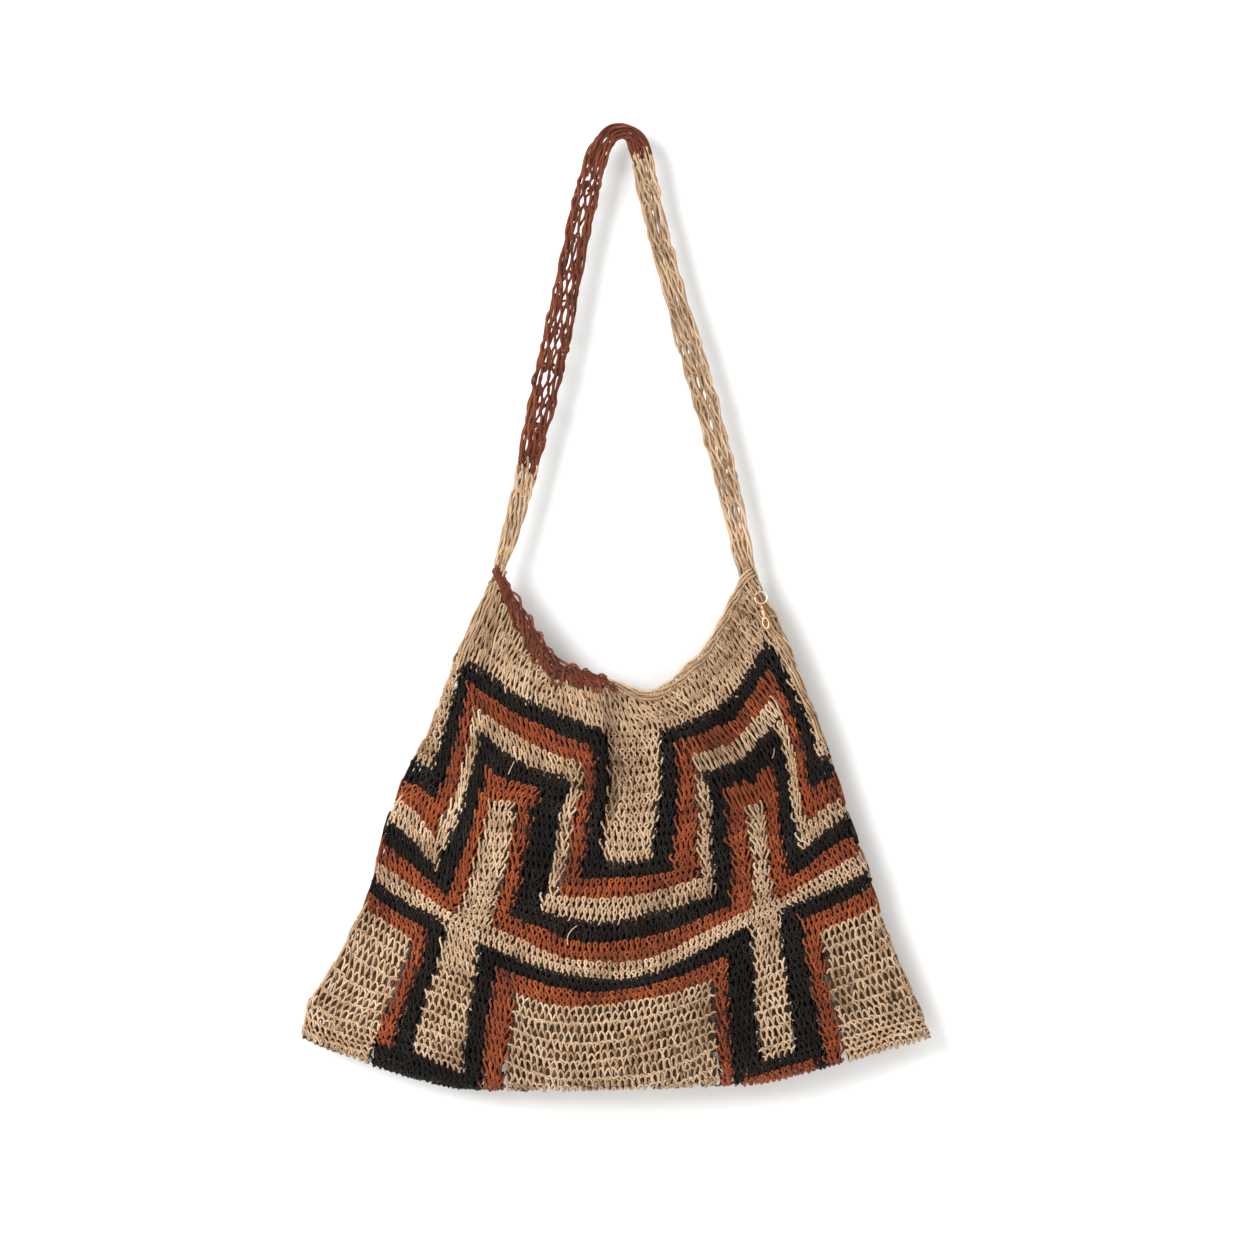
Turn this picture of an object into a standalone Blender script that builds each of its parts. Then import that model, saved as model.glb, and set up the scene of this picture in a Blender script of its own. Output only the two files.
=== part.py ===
"""A looped string shoulder bag, hanging from its strap, in metres with +Z up.

The origin is the point that the strap hangs from, at the inside of its top bend.
The bag's face looks along -Y and its flat back lies towards +Y. Sizes below are
in millimetres. The sheet is described by its own loops: a place on the face is
so many loops across and so many rows down from the mouth. Loops are counted
from the first coloured band, so that the left side lies at -3.
"""

import bisect
import functools
import math

import bmesh
import bpy
import numpy as np

MM = 0.001
BAG_NAME = "string_bag"

# The looped sheet and how its two faces stand apart
WALL_THICKNESS = 2.4
SIDE_ROUNDING = 6.0
BOTTOM_ROUNDING = 9.0
BACK_DEPTH = 7.0
SEAT_GAP = 0.3

# The grid that the sheet is laid out on, and how fine its rounded sides and underside are divided
CELLS_ACROSS = 42
CELLS_DOWN = 24
ROUNDING_STEPS = 3

# Where the rows of loops cross the named lines of the face: its left side, the
# edges of the first band, of the left upright figure, of the middle column, of
# the right figure and of the last band, and the right side.
LINES = (-3, 1, 16, 25, 40, 56, 71, 77, 92, 96)
LEVEL_X = (
    # row, then x at each line
    (0, -89, -83, -57, -45, -10, 25, 57, 66, 88, 95),
    (3, -117, -111, -83, -61, -9, 30, 68, 81, 108, 119),
    (6, -130, -121, -86, -59, -8, 30, 81, 95, 128, 135),
    (8, -138, -127, -93, -73, -12, 27, 90, 104, 137, 144),
    (10, -151, -136, -100, -78, -14, 24, 92, 105, 141, 152),
    (12, -163, -153, -108, -85, -22, 24, 95, 107, 149, 162),
    (14, -173, -163, -115, -90, -31, 24, 95, 110, 158, 171),
    (16, -179, -168, -125, -99, -38, 24, 93, 115, 166, 180),
    (18, -186, -174, -131, -102, -43, 24, 94, 118, 171, 186),
    (21, -207, -193, -143, -108, -48, 24, 96, 123, 182, 203),
    (23, -225, -210, -149, -111, -50, 24, 99, 127, 192, 215),
    (25, -230, -215, -154, -113, -52, 24, 101, 130, 198, 225),
)
LEVEL_Z = (
    # row, then z at each line
    (0, -310, -321, -362, -377, -391, -399, -373, -361, -319, -312),
    (3, -371, -377, -395, -408, -428, -426, -413, -403, -362, -359),
    (6, -405, -410, -442, -456, -467, -465, -450, -441, -405, -402),
    (8, -428, -433, -476, -480, -493, -492, -483, -476, -427, -423),
    (10, -450, -457, -505, -508, -521, -519, -500, -498, -450, -446),
    (12, -479, -482, -534, -538, -548, -544, -522, -519, -483, -477),
    (14, -508, -514, -553, -558, -578, -575, -547, -541, -510, -505),
    (16, -536, -544, -565, -580, -603, -600, -567, -558, -535, -528),
    (18, -554, -562, -591, -603, -624, -618, -594, -584, -562, -553),
    (21, -597, -608, -626, -640, -662, -657, -631, -622, -604, -597),
    (23, -624, -633, -650, -665, -688, -685, -657, -649, -630, -624),
    (25, -650, -657, -675, -690, -712, -709, -683, -675, -654, -650),
)

# The row that lies along the bag's lower edge at each line. Between the two
# figures the sheet turns under sooner than at the sides.
UNDERSIDE_ROW = (25, 25, 25.2, 24.7, 23, 23.1, 25, 25.1, 25.3, 25)

# How far the face stands out between its sides, and how the back does
FULLNESS = (
    # row, face, back
    (0, 7, 2),
    (4, 13, 3),
    (12, 23, 3),
    (18, 29, 2),
    (22, 25, 1),
    (25.3, 17, 0),
)

# The soft folds of the face. A fold rises over its left spread and falls over
# its right spread, and is strongest midway between its first and last row.
FOLDS = (
    # loop at the top, loop at the bottom, first row, last row, height, left spread, right spread
    (39, 38, -3, 13, 9.0, 34, 6),
    (44, 44, -3, 12, -6.0, 8, 22),
    (69, 72, -2, 17, 5.0, 26, 8),
    (80, 80, 0, 20, -4.0, 10, 26),
    (12, 9, 1, 20, 3.5, 18, 22),
    (30, 29, 8, 26, -3.0, 26, 30),
    (60, 58, 6, 24, 3.0, 30, 30),
)

# The strap: a flat looped band, bent edgewise over the hang point. It is thickest
# in its middle column and where it bunches at the hang point.
STRAP_ACROSS = 7
STRAP_LENGTHWISE = 84
STRAP_THICKNESS = 8.0
STRAP = (
    # distance along, x, z, width, share of the full thickness
    (0, -87.3, -310.1, 8.0, 0.75),
    (22, -80.0, -288.0, 11.0, 0.55),
    (70, -68.5, -245.0, 15.0, 0.5),
    (115, -58.5, -200.0, 19.0, 0.5),
    (160, -47.5, -154.0, 20.5, 0.5),
    (205, -39.0, -110.0, 18.0, 0.5),
    (250, -30.0, -66.0, 18.0, 0.55),
    (290, -21.5, -30.0, 17.0, 0.7),
    (312, -15.5, -10.0, 15.5, 0.85),
    (327, -7.5, 2.0, 12.0, 1.0),
    (337, 1.0, 5.2, 10.6, 1.0),
    (347, 9.5, 1.5, 12.0, 1.0),
    (362, 15.5, -12.0, 14.5, 0.85),
    (385, 19.5, -34.0, 15.0, 0.7),
    (425, 29.5, -76.0, 15.0, 0.55),
    (470, 42.0, -122.0, 16.0, 0.5),
    (515, 55.5, -168.0, 17.5, 0.5),
    (560, 68.0, -213.0, 17.0, 0.5),
    (605, 79.5, -258.0, 15.5, 0.55),
    (658, 91.3, -312.3, 13.0, 0.75),
)
STRAP_EDGE_SHARE = 0.55

# The see-through slits between the strap's strands: cells of the band that are left open
SLITS = (
    # first cell, last cell, step, column, the column's shift at every other slit
    (14, 38, 4, 2, 2),
    (16, 38, 4, 3, 2),
    (51, 58, 4, 2, 2),
    (72, 81, 4, 4, -2),
)

# The little ring at the right end of the mouth. It leans a little out of the wall's plane.
RING_X = 101.5
RING_Y = -8.4
RING_Z = -331.9
RING_RADIUS = 4.4
RING_WIRE = 0.45
RING_LEAN = math.radians(8)

# The clasp that hangs from the ring: an eye, a turned barrel and a long hook.
# It swings a little to the right and leans outwards, over the full face.
EYE_RADIUS = 1.3
EYE_WIRE = 0.4
CLASP_SWING = math.radians(14)
CLASP_LEAN = math.radians(7)
BARREL = (
    # radius, distance below the eye's middle
    (0.0, 1.0),
    (0.8, 1.1),
    (1.25, 2.0),
    (1.25, 3.0),
    (0.8, 3.8),
    (1.45, 5.0),
    (1.6, 7.0),
    (1.3, 9.0),
    (0.7, 10.2),
    (0.0, 10.4),
)
HOOK_DROP = 14.2
HOOK_RADIUS = 2.1
HOOK_WIRE = 0.6
HOOK_STRETCH = 1.9


def slope_at(knots, values, k):
    """The slope of a table's values at one knot, from its neighbours."""
    before = max(k - 1, 0)
    after = min(k + 1, len(knots) - 1)
    return (values[after] - values[before]) / (knots[after] - knots[before])


def curve_through(knots, values, at):
    """Reads a smooth curve through the values that stand at the knots."""
    k = min(max(bisect.bisect_right(knots, at) - 1, 0), len(knots) - 2)
    width = knots[k + 1] - knots[k]
    t = (at - knots[k]) / width
    bend = t * t * (3 - 2 * t)
    leaving = (t - 2 * t**2 + t**3) * width * slope_at(knots, values, k)
    arriving = (t**3 - t**2) * width * slope_at(knots, values, k + 1)
    return values[k] + (values[k + 1] - values[k]) * bend + leaving + arriving


@functools.lru_cache(maxsize=None)
def level_line(table, row):
    """The places of one row of loops, read down a table of levels."""
    columns = list(zip(*table))
    return tuple(curve_through(columns[0], column, row) for column in columns[1:])


def face_place(loop, row):
    """x and z of a loop of the face."""
    x = curve_through(LINES, level_line(LEVEL_X, row), loop)
    z = curve_through(LINES, level_line(LEVEL_Z, row), loop)
    return x, z


def row_at(loop, share):
    """The row that lies a share of the way down from the mouth to the underside."""
    return share * curve_through(LINES, UNDERSIDE_ROW, loop)


@functools.lru_cache(maxsize=None)
def measured_run(share):
    """Loops along a line across the face, and how far along it each one lies."""
    loops = np.linspace(LINES[0], LINES[-1], 100)
    places = np.array([face_place(loop, row_at(loop, share)) for loop in loops])
    steps = np.linalg.norm(np.diff(places, axis=0), axis=1)
    return loops, np.concatenate(([0.0], np.cumsum(steps)))


def rounded_edge(distance, radius):
    """Rises from 0 at an edge to 1 at the radius, as a quarter circle does."""
    inside = min(max(distance / radius, 0.0), 1.0)
    return math.sqrt(1 - (1 - inside) ** 2)


def fold_height(along, share, row):
    """How far the folds lift the face, at a distance along a line across it."""
    loops, distances = measured_run(share)
    height = 0.0
    for top_loop, bottom_loop, first, last, rise, left_spread, right_spread in FOLDS:
        if not first < row < last:
            continue
        crest = np.interp(row, (first, last), (top_loop, bottom_loop))
        away = along - np.interp(crest, loops, distances)
        spread = left_spread if away < 0 else right_spread
        fade = math.sin(math.pi * (row - first) / (last - first)) ** 2
        height += rise * fade * math.exp(-((away / spread) ** 2))
    return height


def sheet_place(along, share, front):
    """x, y and z at a distance along a line across the bag. The face stands out towards -Y."""
    loops, distances = measured_run(share)
    length = distances[-1]
    loop = float(np.interp(along, distances, loops))
    row = row_at(loop, share)
    x, z = face_place(loop, row)
    from_side = min(along, length - along)
    from_bottom = math.dist((x, z), face_place(loop, row_at(loop, 1.0)))
    edge = rounded_edge(from_side, SIDE_ROUNDING) * rounded_edge(from_bottom, BOTTOM_ROUNDING)
    face, back = level_line(FULLNESS, row)
    dome = math.sin(math.pi * min(max(along / length, 0.0), 1.0)) ** 0.8
    if not front:
        return x, edge * (BACK_DEPTH + back * dome), z
    folds = fold_height(along, share, row) * min(1.0, from_side / (3 * SIDE_ROUNDING))
    return x, -edge * (SIDE_ROUNDING + face * dome + folds), z


def rounding_distances(radius):
    """Distances from an edge that divide its rounding evenly, from the edge inwards."""
    turns = [math.pi / 2 * k / ROUNDING_STEPS for k in range(ROUNDING_STEPS)]
    return [radius * (1 - math.cos(turn)) for turn in turns]


def distances_across(length):
    """The grid's places along one line across: close together on the rounded sides, even between."""
    side = rounding_distances(SIDE_ROUNDING)
    cells = CELLS_ACROSS - 2 * ROUNDING_STEPS
    flat = np.linspace(SIDE_ROUNDING, length - SIDE_ROUNDING, cells + 1)
    return side + list(flat) + [length - distance for distance in reversed(side)]


def shares_down():
    """The grid's lines across, as shares of the way down, closer on the rounded underside."""
    last_flat = 1 - 1 / CELLS_DOWN
    underside = [1 - distance / CELLS_DOWN for distance in reversed(rounding_distances(1.0))]
    return list(np.linspace(0, last_flat, CELLS_DOWN)) + underside


def bag_sheet(shape, front):
    """Adds one face of the bag to the shape, as a grid laid over its loops."""
    shares = shares_down()
    lines = len(shares) - 1
    grid = bmesh.ops.create_grid(shape, x_segments=CELLS_ACROSS, y_segments=lines, size=0.5)
    across = [distances_across(measured_run(share)[1][-1]) for share in shares]
    for vert in grid["verts"]:
        column = round((vert.co.x + 0.5) * CELLS_ACROSS)
        line = round((0.5 - vert.co.y) * lines)
        x, y, z = sheet_place(across[line][column], shares[line], front)
        vert.co = (x * MM, y * MM, z * MM)
    if not front:
        faces = {face for vert in grid["verts"] for face in vert.link_faces}
        bmesh.ops.reverse_faces(shape, faces=list(faces))


def material(name, colour, roughness, metallic=0.0):
    """One plain material for a sub-part."""
    made = bpy.data.materials.new(name)
    made.use_nodes = True
    shader = made.node_tree.nodes["Principled BSDF"]
    shader.inputs["Base Color"].default_value = (*colour, 1)
    shader.inputs["Roughness"].default_value = roughness
    shader.inputs["Metallic"].default_value = metallic
    return made


def new_object(name, mesh, collection, finish):
    """Puts a mesh in the collection as a named, smooth-shaded object."""
    made = bpy.data.objects.new(name, mesh)
    mesh.materials.append(finish)
    mesh.shade_smooth()
    mesh.set_sharp_from_angle(angle=math.radians(50))
    collection.objects.link(made)
    return made


def mesh_of(name, shape):
    """Turns a finished bmesh into mesh data."""
    bmesh.ops.recalc_face_normals(shape, faces=shape.faces)
    mesh = bpy.data.meshes.new(name)
    shape.to_mesh(mesh)
    shape.free()
    return mesh


def bag_body(collection):
    """The looped bag: two faces joined round both sides and the bottom, open at the mouth."""
    shape = bmesh.new()
    bag_sheet(shape, front=True)
    bag_sheet(shape, front=False)
    bmesh.ops.remove_doubles(shape, verts=shape.verts, dist=0.02 * MM)
    finish = material("natural_string", (0.52, 0.38, 0.24), 0.9)
    body = new_object("bag_body", mesh_of("bag_body", shape), collection, finish)
    wall = body.modifiers.new("wall", "SOLIDIFY")
    wall.thickness = WALL_THICKNESS * MM
    wall.offset = -1
    wall.use_even_offset = True
    wall.use_rim = True
    return body


def strap_point(cell, column):
    """A corner of the strap's grid: its place on the middle surface and its share of the thickness."""
    total = STRAP[-1][0]
    along = total * cell / STRAP_LENGTHWISE
    x, z, width, share = level_line(STRAP, along)
    before = level_line(STRAP, max(along - 1, 0))
    after = level_line(STRAP, min(along + 1, total))
    run_x = after[0] - before[0]
    run_z = after[1] - before[1]
    run = math.hypot(run_x, run_z)
    across = 2 * column / STRAP_ACROSS - 1
    aside = across * width / 2
    share *= 1 - (1 - STRAP_EDGE_SHARE) * across**4
    return x - aside * run_z / run, z + aside * run_x / run, share


def slit_cells():
    """The cells of the strap's grid that stay open between its strands."""
    cells = set()
    for first, last, step, column, shift in SLITS:
        for number, cell in enumerate(range(first, last + 1, step)):
            cells.add((cell, column + (shift if number % 2 else 0)))
    return cells


def shoulder_strap(collection):
    """The looped band, with slits between its strands."""
    shape = bmesh.new()
    thickness = shape.verts.layers.deform.verify()
    bmesh.ops.create_grid(shape, x_segments=STRAP_LENGTHWISE, y_segments=STRAP_ACROSS, size=0.5)
    open_cells = slit_cells()
    removed = []
    for face in shape.faces:
        middle = face.calc_center_median()
        cell = math.floor((middle.x + 0.5) * STRAP_LENGTHWISE)
        column = math.floor((middle.y + 0.5) * STRAP_ACROSS)
        if (cell, column) in open_cells:
            removed.append(face)
    for vert in shape.verts:
        x, z, share = strap_point((vert.co.x + 0.5) * STRAP_LENGTHWISE, (vert.co.y + 0.5) * STRAP_ACROSS)
        vert.co = (x * MM, 0, z * MM)
        vert[thickness][0] = share
    bmesh.ops.delete(shape, geom=removed, context="FACES")
    finish = material("rust_string", (0.30, 0.09, 0.04), 0.9)
    strap = new_object("shoulder_strap", mesh_of("shoulder_strap", shape), collection, finish)
    strap.vertex_groups.new(name="thickness")
    band = strap.modifiers.new("band", "SOLIDIFY")
    band.thickness = STRAP_THICKNESS * MM
    band.vertex_group = "thickness"
    band.offset = 0
    band.use_rim = True
    return strap


def wire_ring(name, radius, wire, steps, collection):
    """A round ring of wire, lying in the XZ plane about its own origin."""
    bpy.ops.mesh.primitive_torus_add(
        major_radius=radius * MM,
        minor_radius=wire * MM,
        major_segments=steps,
        minor_segments=8,
        rotation=(math.pi / 2, 0, 0),
    )
    made = bpy.context.object
    made.name = name
    made.data.transform(made.matrix_world)
    made.rotation_euler = (0, 0, 0)
    for other in list(made.users_collection):
        other.objects.unlink(made)
    collection.objects.link(made)
    return made


def ring(collection, finish):
    """The plain wire ring at the mouth's right corner."""
    made = wire_ring("ring", RING_RADIUS, RING_WIRE, 32, collection)
    made.location = (RING_X * MM, RING_Y * MM, RING_Z * MM)
    made.rotation_euler = (-RING_LEAN, 0, 0)
    made.data.materials.append(finish)
    made.data.shade_smooth()
    return made


def hanging_point():
    """An empty where the clasp's eye hangs in the ring, turned as the clasp hangs."""
    made = bpy.data.objects.new("clasp_hanging_point", None)
    clearance = EYE_RADIUS - EYE_WIRE - RING_WIRE - SEAT_GAP
    drop = RING_RADIUS
    made.location = (
        RING_X * MM,
        (RING_Y - drop * math.sin(RING_LEAN)) * MM,
        (RING_Z - drop * math.cos(RING_LEAN) - clearance) * MM,
    )
    made.rotation_euler = (-CLASP_LEAN, -CLASP_SWING, 0)
    return made


def clasp_barrel(collection, finish):
    """The turned barrel, from a profile that runs down its outer side."""
    outline = bmesh.new()
    corners = [outline.verts.new((radius * MM, 0, -drop * MM)) for radius, drop in BARREL]
    for upper, lower in zip(corners, corners[1:]):
        outline.edges.new((upper, lower))
    mesh = bpy.data.meshes.new("clasp")
    outline.to_mesh(mesh)
    outline.free()
    barrel = bpy.data.objects.new("clasp", mesh)
    mesh.materials.append(finish)
    collection.objects.link(barrel)
    turn = barrel.modifiers.new("turned", "SCREW")
    turn.steps = 20
    turn.render_steps = 20
    turn.use_merge_vertices = True
    turn.merge_threshold = 0.00001
    turn.use_smooth_shade = True
    return barrel


def add_to(target, other, name):
    """Joins another closed shape into the target, which keeps it hidden as its helper."""
    other.hide_render = True
    other.display_type = "WIRE"
    join = target.modifiers.new(name, "BOOLEAN")
    join.operation = "UNION"
    join.object = other


def clasp(collection, helpers, finish):
    """The clasp: its eye round the ring's wire, its barrel, and its long hook."""
    hanging = hanging_point()
    helpers.objects.link(hanging)
    barrel = clasp_barrel(collection, finish)
    eye = wire_ring("clasp_eye", EYE_RADIUS, EYE_WIRE, 20, helpers)
    eye.rotation_euler = (0, 0, math.pi / 2)
    hook = wire_ring("clasp_hook", HOOK_RADIUS, HOOK_WIRE, 24, helpers)
    hook.location = (0, 0, -HOOK_DROP * MM)
    hook.scale = (1, 1, HOOK_STRETCH)
    for piece in (barrel, eye, hook):
        piece.parent = hanging
    add_to(barrel, eye, "eye")
    add_to(barrel, hook, "hook")
    return barrel


def clear_scene():
    """Starts from nothing."""
    for old in list(bpy.data.objects):
        bpy.data.objects.remove(old, do_unlink=True)


def main():
    clear_scene()
    bag = bpy.data.collections.new(BAG_NAME)
    bpy.context.scene.collection.children.link(bag)
    helpers = bpy.data.collections.new("helpers")
    helpers.hide_render = True
    bpy.context.scene.collection.children.link(helpers)
    bag_body(bag)
    shoulder_strap(bag)
    ring(bag, material("pale_gold", (0.80, 0.62, 0.36), 0.3, metallic=1.0))
    clasp(bag, helpers, material("copper_gold", (0.72, 0.43, 0.24), 0.3, metallic=1.0))


main()
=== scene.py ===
"""The looks of the looped string bag: every loop of its net, its strap, its rim and its metal.

Lengths are in millimetres until they reach a mesh. A place on the bag is given by
its loop, counted across the face, and its row, counted down from the mouth, as in
the solids. A place on the strap is a distance across it and a distance along it.
"""

import math
from collections import namedtuple

import bpy
import numpy as np
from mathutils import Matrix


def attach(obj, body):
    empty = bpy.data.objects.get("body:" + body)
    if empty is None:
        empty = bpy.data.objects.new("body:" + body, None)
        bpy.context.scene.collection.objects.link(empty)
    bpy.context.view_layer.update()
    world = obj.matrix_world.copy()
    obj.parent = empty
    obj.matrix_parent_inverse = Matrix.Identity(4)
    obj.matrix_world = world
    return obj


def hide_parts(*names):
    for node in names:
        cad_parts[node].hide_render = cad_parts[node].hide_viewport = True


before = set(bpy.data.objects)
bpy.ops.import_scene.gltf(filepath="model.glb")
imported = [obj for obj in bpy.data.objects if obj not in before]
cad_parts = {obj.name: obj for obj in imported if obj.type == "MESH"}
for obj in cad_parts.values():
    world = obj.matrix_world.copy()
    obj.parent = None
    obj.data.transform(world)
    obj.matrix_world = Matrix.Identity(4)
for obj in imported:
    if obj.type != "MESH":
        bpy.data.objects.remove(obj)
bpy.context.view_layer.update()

MM = 0.001

# The sheet of the bag, as in the solids
LINES = (-3, 1, 16, 25, 40, 56, 71, 77, 92, 96)
LEVEL_X = (
    # row, then x at each line
    (0, -89, -83, -57, -45, -10, 25, 57, 66, 88, 95),
    (3, -117, -111, -83, -61, -9, 30, 68, 81, 108, 119),
    (6, -130, -121, -86, -59, -8, 30, 81, 95, 128, 135),
    (8, -138, -127, -93, -73, -12, 27, 90, 104, 137, 144),
    (10, -151, -136, -100, -78, -14, 24, 92, 105, 141, 152),
    (12, -163, -153, -108, -85, -22, 24, 95, 107, 149, 162),
    (14, -173, -163, -115, -90, -31, 24, 95, 110, 158, 171),
    (16, -179, -168, -125, -99, -38, 24, 93, 115, 166, 180),
    (18, -186, -174, -131, -102, -43, 24, 94, 118, 171, 186),
    (21, -207, -193, -143, -108, -48, 24, 96, 123, 182, 203),
    (23, -225, -210, -149, -111, -50, 24, 99, 127, 192, 215),
    (25, -230, -215, -154, -113, -52, 24, 101, 130, 198, 225),
)
LEVEL_Z = (
    # row, then z at each line
    (0, -310, -321, -362, -377, -391, -399, -373, -361, -319, -312),
    (3, -371, -377, -395, -408, -428, -426, -413, -403, -362, -359),
    (6, -405, -410, -442, -456, -467, -465, -450, -441, -405, -402),
    (8, -428, -433, -476, -480, -493, -492, -483, -476, -427, -423),
    (10, -450, -457, -505, -508, -521, -519, -500, -498, -450, -446),
    (12, -479, -482, -534, -538, -548, -544, -522, -519, -483, -477),
    (14, -508, -514, -553, -558, -578, -575, -547, -541, -510, -505),
    (16, -536, -544, -565, -580, -603, -600, -567, -558, -535, -528),
    (18, -554, -562, -591, -603, -624, -618, -594, -584, -562, -553),
    (21, -597, -608, -626, -640, -662, -657, -631, -622, -604, -597),
    (23, -624, -633, -650, -665, -688, -685, -657, -649, -630, -624),
    (25, -650, -657, -675, -690, -712, -709, -683, -675, -654, -650),
)
UNDERSIDE_ROW = (25, 25, 25.2, 24.7, 23, 23.1, 25, 25.1, 25.3, 25)
FULLNESS = (
    # row, face, back
    (0, 7, 2),
    (4, 13, 3),
    (12, 23, 3),
    (18, 29, 2),
    (22, 25, 1),
    (25.3, 17, 0),
)
FOLDS = (
    # loop at the top, loop at the bottom, first row, last row, height, left spread, right spread
    (39, 38, -3, 13, 9.0, 34, 6),
    (44, 44, -3, 12, -6.0, 8, 22),
    (69, 72, -2, 17, 5.0, 26, 8),
    (80, 80, 0, 20, -4.0, 10, 26),
    (12, 9, 1, 20, 3.5, 18, 22),
    (30, 29, 8, 26, -3.0, 26, 30),
    (60, 58, 6, 24, 3.0, 30, 30),
)
SIDE_ROUNDING = 6.0
BOTTOM_ROUNDING = 9.0
BACK_DEPTH = 7.0
SIDE_WRAP = 2.6
ROWS = 26
LAST_ROW_LINES = {24: 23.75, 25: 24.45, 26: 25.3}
BACK_DROP = 0.45
FIELD_ROW = 18
ARCH_FIRST_LOOP = 57
ARCH_END_ROW = 9
ARCH_SHORTEST_RUN = 5

# The strap's middle line, as in the solids
STRAP = (
    # distance along, x, z, width
    (0, -87.3, -310.1, 8.0),
    (22, -80.0, -288.0, 11.0),
    (70, -68.5, -245.0, 15.0),
    (115, -58.5, -200.0, 19.0),
    (160, -47.5, -154.0, 20.5),
    (205, -39.0, -110.0, 18.0),
    (250, -30.0, -66.0, 18.0),
    (290, -21.5, -30.0, 17.0),
    (312, -15.5, -10.0, 15.5),
    (327, -7.5, 2.0, 12.0),
    (337, 1.0, 5.2, 10.6),
    (347, 9.5, 1.5, 12.0),
    (362, 15.5, -12.0, 14.5),
    (385, 19.5, -34.0, 15.0),
    (425, 29.5, -76.0, 15.0),
    (470, 42.0, -122.0, 16.0),
    (515, 55.5, -168.0, 17.5),
    (560, 68.0, -213.0, 17.0),
    (605, 79.5, -258.0, 15.5),
    (658, 91.3, -312.3, 13.0),
)
STRAP_RUST = (78, 366)
STRAP_OVERLAP = 12.0
STRAP_LAYERS = (
    # strands, places across from -1 to 1, length of a wave, swing, lift, where it starts and ends
    (8, (-0.98, 0.98), 21.0, 0.11, 0.7, 0, 670),
    (4, (-1.0, -0.35), 26.0, 0.08, -1.3, 0, 670),
    (4, (0.35, 1.0), 26.0, 0.08, -1.3, 0, 670),
    (3, (-0.4, 0.4), 24.0, 0.1, -1.6, 292, 670),
    (2, (-0.35, 0.35), 24.0, 0.1, -1.6, -10, 110),
)
STRAP_KNOT_GAP = 23.0

# The string
STRING_RADIUS = 0.84
BACK_STRING_RADIUS = 1.2
STRAP_STRING_RADIUS = 0.95
PLY_LENGTH = 2.6

# How a loop is worked in each part. The pitch is its width. The reach is its height
# as a share of the row. The waist draws its two strands together at mid height, and
# the top and the foot bow them apart there, the rounder the fuller. A step holds them
# back at mid height, so that two cells stand over each other. A lean shifts the foot
# across from the top, a curl bends its ends, and a cross lays one strand over the other.
# The rows are the rows of loops in one row of the chart.
Loop = namedtuple("Loop", "rows pitch steps reach waist top foot round step lean curl cross uneven")
TOP_LOOP = Loop(1, 3.7, 14, 1.45, 0.2, 0.28, 0.08, 0.1, 0.0, 0.06, 0.3, 0.35, 1.5)
BAND_LOOP = Loop(2, 4.4, 14, 1.26, 0.22, 0.31, 0.0, 0.1, 0.05, 0.03, 0.06, 0.3, 0.9)
ARCH_LOOP = Loop(1, 3.7, 18, 1.1, 0.22, 0.27, 0.02, 0.15, 0.05, 0.12, 0.4, 0.5, 1.1)
FIELD_LOOP = Loop(2, 4.9, 14, 1.12, -0.19, -0.04, 0.03, 0.1, 0.06, 0.02, 0.0, 0.3, 0.9)
BACK_LOOP = Loop(1, 4.5, 9, 1.9, 0.0, 0.02, 0.02, 0.0, 0.0, 0.0, 0.0, 0.9, 0.8)
KNOT_LOOP = Loop(1, 0.0, 16, 1.0, 0.1, 0.1, 0.1, 0.0, 0.0, 0.0, 0.0, 0.9, 1.5)

# How far a run of each colour stays short of its neighbours' loops, and stands in front of them
RUN_TRIM = {"natural": 0.3, "rust": 0.08, "black": -0.3}
RUN_LIFT = {"natural": 0.0, "rust": 0.05, "black": 0.3}

# The chart. A figure is a natural column with five stripes round it. From its first
# row a stripe runs over the column, then down beside it, and from its turning row
# it runs outwards across the bag.
FIGURES = (
    # first loop, last loop, then the stripes' edges counted outwards on the left and on the right
    (16, 25, (3, 6, 9, 12, 15), (3, 6.8, 9.4, 12, 15)),
    (71, 77, (3.6, 5.6, 8.1, 11.3, 15), (3.8, 7.2, 10.2, 12.6, 15)),
)
STRIPES = ("black", "rust", "natural", "black", "rust")
RIM_END = 39
TOP_ROWS = 5
FIRST_ROW = 3
TURNING_ROW = 10
BAR_ROW = 15
FOOT_ROW = 16
LEFT_FOOT_CLOSING = (10, 28, ("black", "black"))
RIGHT_FOOT_CLOSING = (68, 80, ("black", "rust"))

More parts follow.
